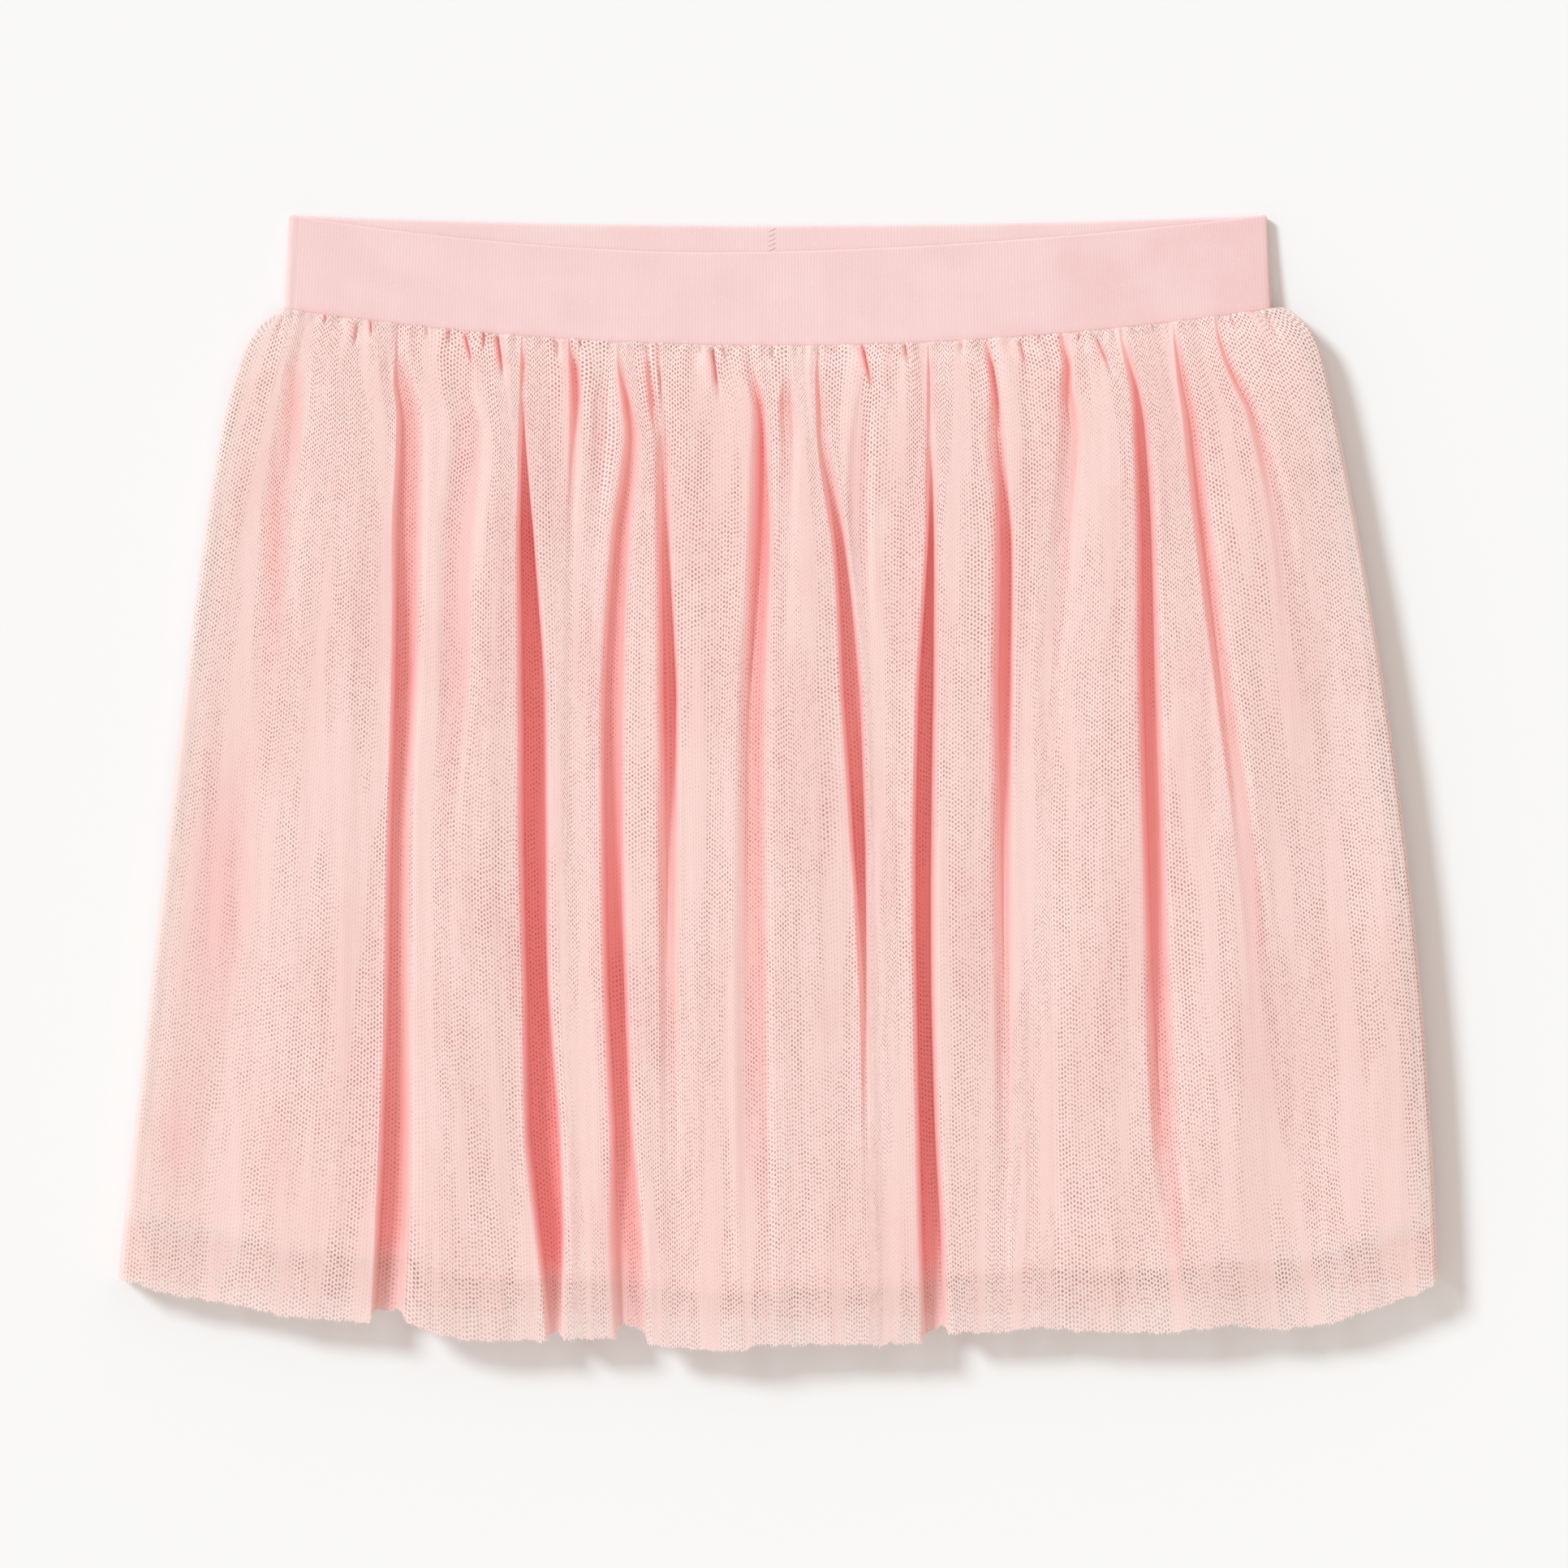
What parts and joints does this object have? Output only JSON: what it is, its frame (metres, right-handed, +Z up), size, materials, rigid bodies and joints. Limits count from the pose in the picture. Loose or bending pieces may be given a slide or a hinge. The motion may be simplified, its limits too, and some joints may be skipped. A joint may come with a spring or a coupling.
{
  "type": "tulle skirt",
  "caption": "Child's pull-on skirt laid flat: wide knit waistband, gathered net outer layer with deep flutes and a raw hem, and a shorter knit lining.",
  "frame": {"origin": "on the table, under the middle of the laid-out skirt's box", "axes": "+X across the skirt to its right as seen from above, +Y from the hem towards the waist, +Z up from the table, out of the front"},
  "size_m": [0.3904, 0.3356, 0.0142],
  "materials": {
    "tulle_net": "soft stretch net, matt with a faint sheen",
    "waistband_knit": "fine rib knit, matt",
    "lining_knit": "smooth jersey knit, matt"
  },
  "bodies": {
    "root": {"waistband": "waistband_knit", "tulle_front": "tulle_net", "tulle_back": "tulle_net", "lining_front": "lining_knit", "lining_back": "lining_knit"}
  },
  "joints": []
}
